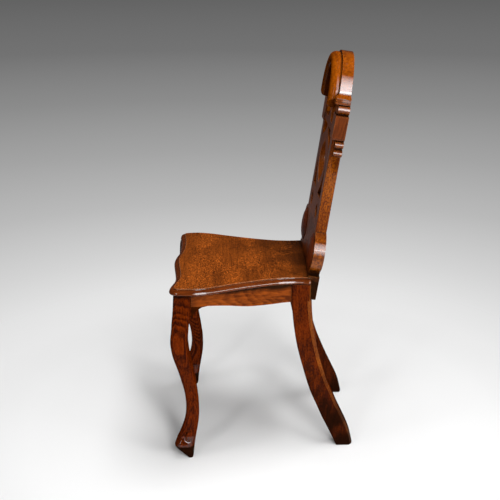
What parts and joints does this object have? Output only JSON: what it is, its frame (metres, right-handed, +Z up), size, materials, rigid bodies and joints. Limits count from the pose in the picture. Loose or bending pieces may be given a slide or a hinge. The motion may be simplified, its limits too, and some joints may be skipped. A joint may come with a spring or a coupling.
{
  "type": "hall chair",
  "caption": "Rigid oak hall chair with a pierced raked back, arched crest, moulded flat seat, cabriole front legs and sabre rear legs.",
  "frame": {"origin": "on the floor, under the middle of the bounding box", "axes": "+Z up, the chair faces -Y, +X is the sitter's left"},
  "size_m": [0.422, 0.433, 0.9299],
  "materials": {
    "oak": "french polished",
    "dark_oak": "french polished",
    "seat_oak": "waxed polish, worn",
    "inner_oak": "raw sawn",
    "screw_iron": "dark oxidised"
  },
  "bodies": {
    "root": {"seat_board": "seat_oak", "front_leg_left": "oak", "front_leg_right": "oak", "rear_leg_left": "oak", "rear_leg_right": "oak", "side_rail_left": "oak", "side_rail_right": "oak", "front_rail": "oak", "rear_rail": "inner_oak", "side_knee_bracket_left": "oak", "side_knee_bracket_right": "oak", "front_knee_bracket_left": "oak", "front_knee_bracket_right": "oak", "front_corner_block_left": "inner_oak", "front_corner_block_right": "inner_oak", "rear_corner_block_left": "inner_oak", "rear_corner_block_right": "inner_oak", "seat_screw_1": "screw_iron", "seat_screw_2": "screw_iron", "seat_screw_3": "screw_iron", "seat_screw_4": "screw_iron", "back_panel": "oak", "back_stile_left": "oak", "back_stile_right": "oak", "back_crest": "oak", "crest_hood_moulding": "oak", "back_splat": "dark_oak", "back_volute_left": "dark_oak", "back_volute_right": "dark_oak", "crest_shoulder_boss_left": "dark_oak", "crest_shoulder_boss_right": "dark_oak", "stile_foot_dowel_left_1": "inner_oak", "stile_foot_dowel_left_2": "inner_oak", "stile_foot_dowel_right_1": "inner_oak", "stile_foot_dowel_right_2": "inner_oak", "crest_dowel_left_1": "inner_oak", "crest_dowel_left_2": "inner_oak", "crest_dowel_right_1": "inner_oak", "crest_dowel_right_2": "inner_oak", "back_screw_1": "screw_iron", "back_screw_2": "screw_iron", "back_screw_3": "screw_iron", "back_screw_4": "screw_iron"}
  },
  "joints": []
}
